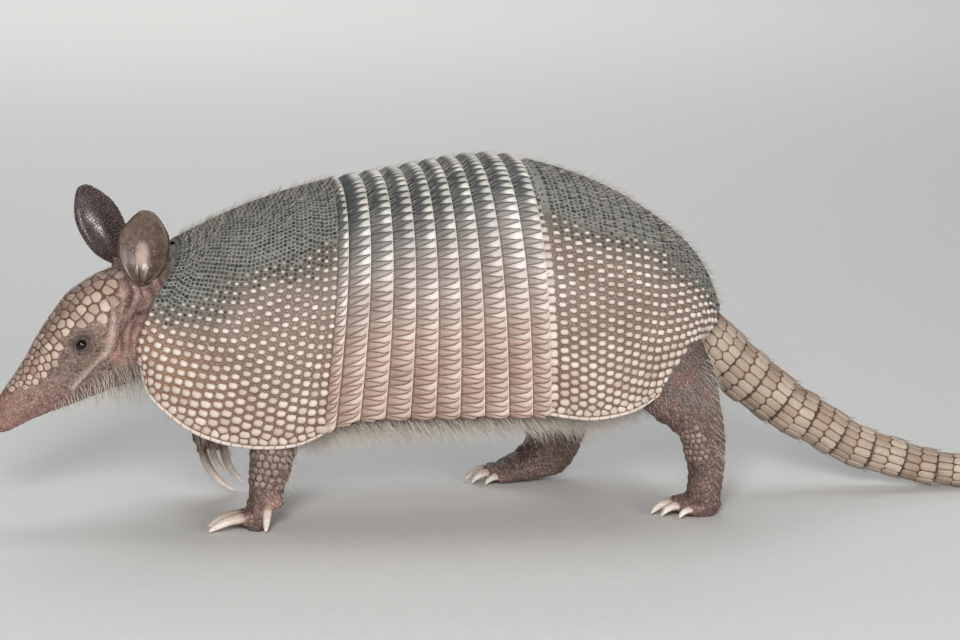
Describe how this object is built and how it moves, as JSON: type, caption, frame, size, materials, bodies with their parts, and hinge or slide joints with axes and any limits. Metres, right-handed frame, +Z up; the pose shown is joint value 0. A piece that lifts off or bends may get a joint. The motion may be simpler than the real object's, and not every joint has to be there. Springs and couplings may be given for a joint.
{
  "type": "armadillo",
  "caption": "Life-size walking armadillo with bony shields front and rear, movable bands between them, a ringed tail, a long snout and upright ears.",
  "frame": {"origin": "middle of the whole length and width, on the ground", "axes": "+X from the head to the tip of the tail, +Y to the animal's right, +Z up"},
  "size_m": [0.698, 0.146, 0.1936],
  "materials": {
    "skin": "matte, wrinkled",
    "shell": "horny scutes, satin",
    "ear": "finely scaled, satin",
    "eye": "wet gloss",
    "claw": "horn, satin"
  },
  "bodies": {
    "root": {"band_1": "shell", "band_2": "shell", "band_3": "shell", "band_4": "shell", "band_5": "shell", "band_6": "shell", "band_7": "shell", "band_8": "shell", "band_9": "shell", "ear_left": "ear", "ear_right": "ear", "eye_left": "eye", "eye_right": "eye", "front_claw_left_1": "claw", "front_claw_left_2": "claw", "front_claw_left_3": "claw", "front_claw_left_4": "claw", "front_claw_right_1": "claw", "front_claw_right_2": "claw", "front_claw_right_3": "claw", "front_claw_right_4": "claw", "front_foot_left": "skin", "front_foot_right": "skin", "front_leg_left": "skin", "front_leg_right": "skin", "head": "skin", "head_shield": "shell", "hind_claw_left_1": "claw", "hind_claw_left_2": "claw", "hind_claw_left_3": "claw", "hind_claw_left_4": "claw", "hind_claw_left_5": "claw", "hind_claw_right_1": "claw", "hind_claw_right_2": "claw", "hind_claw_right_3": "claw", "hind_claw_right_4": "claw", "hind_claw_right_5": "claw", "hind_foot_left": "skin", "hind_foot_right": "skin", "hind_leg_left": "skin", "hind_leg_right": "skin", "neck": "skin", "pelvic_shield": "shell", "scapular_shield": "shell", "tail_end": "shell", "tail_ring_1": "shell", "tail_ring_10": "shell", "tail_ring_11": "shell", "tail_ring_12": "shell", "tail_ring_2": "shell", "tail_ring_3": "shell", "tail_ring_4": "shell", "tail_ring_5": "shell", "tail_ring_6": "shell", "tail_ring_7": "shell", "tail_ring_8": "shell", "tail_ring_9": "shell", "trunk": "skin"}
  },
  "joints": []
}
